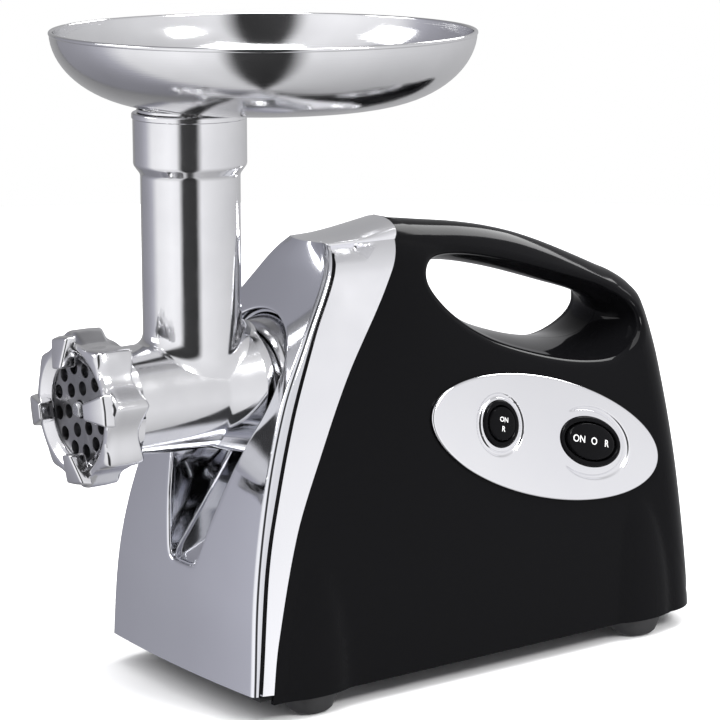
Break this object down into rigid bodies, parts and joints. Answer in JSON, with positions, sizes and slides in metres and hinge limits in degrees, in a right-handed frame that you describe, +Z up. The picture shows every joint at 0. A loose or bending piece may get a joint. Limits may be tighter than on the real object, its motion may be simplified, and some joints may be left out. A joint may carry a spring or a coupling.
{
  "type": "electric meat grinder",
  "caption": "Electric meat grinder with a wedge-shaped motor housing, through carrying handle, oval switch panel, removable screw head, cutting plate, ring nut and round feed tray.",
  "frame": {"origin": "middle of the object's footprint, on the surface that the feet stand on", "axes": "+Z up, +Y from the grinding head to the back of the housing, +X out of the side that carries the switches"},
  "size_m": [0.209, 0.3656, 0.328],
  "materials": {
    "black_gloss": "gloss",
    "chrome_plastic": "polished",
    "panel_chrome": "polished",
    "black_satin": "satin",
    "polished_aluminium": "polished",
    "tray_aluminium": "spun and polished",
    "tool_steel": "ground",
    "dark_steel": "satin",
    "laminated_steel": "varnished",
    "bronze": "sintered",
    "copper": "enamelled winding",
    "nylon": "satin",
    "carbon": "matt",
    "rubber": "matt",
    "board_green": "satin",
    "grey_plastic": "satin"
  },
  "bodies": {
    "body": {"right_housing": "black_gloss", "left_housing": "black_gloss", "accent_strip_right": "black_gloss", "accent_strip_left": "black_gloss", "reverse_bezel": "black_gloss", "rocker_bezel": "black_gloss", "front_cover": "chrome_plastic", "socket_collar": "chrome_plastic", "control_panel": "panel_chrome", "reverse_switch": "black_satin", "rocker_switch": "black_satin", "base_plate": "black_satin", "motor_front_bracket": "polished_aluminium", "motor_rear_bracket": "polished_aluminium", "first_axle": "tool_steel", "second_axle": "tool_steel", "front_bearing": "tool_steel", "rear_bearing": "tool_steel", "motor_bolt_left": "tool_steel", "motor_bolt_right": "tool_steel", "base_screw_1": "tool_steel", "base_screw_2": "tool_steel", "base_screw_3": "tool_steel", "base_screw_4": "tool_steel", "gearbox_case": "dark_steel", "gearbox_cover": "dark_steel", "stator_core": "laminated_steel", "output_bush": "bronze", "brush_holder_left": "bronze", "brush_holder_right": "bronze", "field_coil_upper": "copper", "field_coil_lower": "copper", "carbon_brush_left": "carbon", "carbon_brush_right": "carbon", "front_left_foot": "rubber", "front_right_foot": "rubber", "rear_left_foot": "rubber", "rear_right_foot": "rubber", "cord_gland": "rubber", "circuit_board": "board_green", "capacitor": "grey_plastic"},
    "rotor": {"rotor_shaft": "tool_steel", "rotor_core": "laminated_steel", "commutator": "copper", "cooling_fan": "nylon"},
    "first_gear": {"first_gear": "nylon"},
    "second_gear": {"second_gear": "tool_steel"},
    "output": {"output_gear": "tool_steel"},
    "rocker": {"rocker_cap": "black_satin"},
    "reverse": {"reverse_button": "black_satin"},
    "release": {"release_button": "black_satin"},
    "head": {"grinder_head": "polished_aluminium", "auger_bush": "nylon"},
    "tray": {"tray": "tray_aluminium"},
    "auger": {"auger": "polished_aluminium", "cutting_blade": "tool_steel"},
    "plate": {"cutting_plate": "tool_steel"},
    "nut": {"ring_nut": "polished_aluminium"}
  },
  "joints": [
    {"name": "rotor_spin", "type": "hinge", "parent": "body", "child": "rotor", "pos_m": [0.00008, 0.03825, 0.06927], "axis": [0, 1, 0], "continuous": true},
    {"name": "first_gear_spin", "type": "hinge", "parent": "body", "child": "first_gear", "pos_m": [0.00226, -0.02, 0.09418], "axis": [0, 1, 0], "continuous": true},
    {"name": "second_gear_spin", "type": "hinge", "parent": "body", "child": "second_gear", "pos_m": [0.01209, -0.02, 0.12119], "axis": [0, 1, 0], "continuous": true},
    {"name": "output_spin", "type": "hinge", "parent": "body", "child": "output", "pos_m": [0, -0.03, 0.1527], "axis": [0, 1, 0], "continuous": true},
    {"name": "auger_spin", "type": "hinge", "parent": "head", "child": "auger", "pos_m": [0, -0.1, 0.1527], "axis": [0, 1, 0], "continuous": true},
    {"name": "rocker_tilt", "type": "hinge", "parent": "body", "child": "rocker", "pos_m": [0.05206, 0.10325, 0.1083], "axis": [-0.2494, 0.2669, 0.9309], "range_deg": [-8, 8]},
    {"name": "reverse_press", "type": "slide", "parent": "body", "child": "reverse", "axis": [-0.9701, -0.0687, -0.2329], "range_m": [0, 0.003], "stiffness_N_per_m": 300, "springref_m": -0.001},
    {"name": "release_press", "type": "slide", "parent": "body", "child": "release", "axis": [0, 1, 0], "range_m": [0, 0.004], "stiffness_N_per_m": 400, "springref_m": -0.001},
    {"name": "head_pull", "type": "slide", "parent": "body", "child": "head", "axis": [0, -1, 0], "range_m": [0, 0.12]},
    {"name": "tray_lift", "type": "slide", "parent": "head", "child": "tray", "axis": [0, 0, 1], "range_m": [0, 0.12]},
    {"name": "plate_slide", "type": "slide", "parent": "head", "child": "plate", "axis": [0, -1, 0], "range_m": [0, 0.0083]},
    {"name": "nut_turn", "type": "hinge", "parent": "plate", "child": "nut", "pos_m": [0, -0.17375, 0.1527], "axis": [0, -1, 0], "range_deg": [0, 990]}
  ],
  "couplings": [
    {"joint": "first_gear_spin", "follows": "rotor_spin", "ratio": -0.25},
    {"joint": "second_gear_spin", "follows": "rotor_spin", "ratio": 0.069444},
    {"joint": "output_spin", "follows": "rotor_spin", "ratio": -0.019841},
    {"joint": "auger_spin", "follows": "rotor_spin", "ratio": -0.019841},
    {"joint": "plate_slide", "follows": "nut_turn", "m_per_rad": 0.00047746}
  ]
}
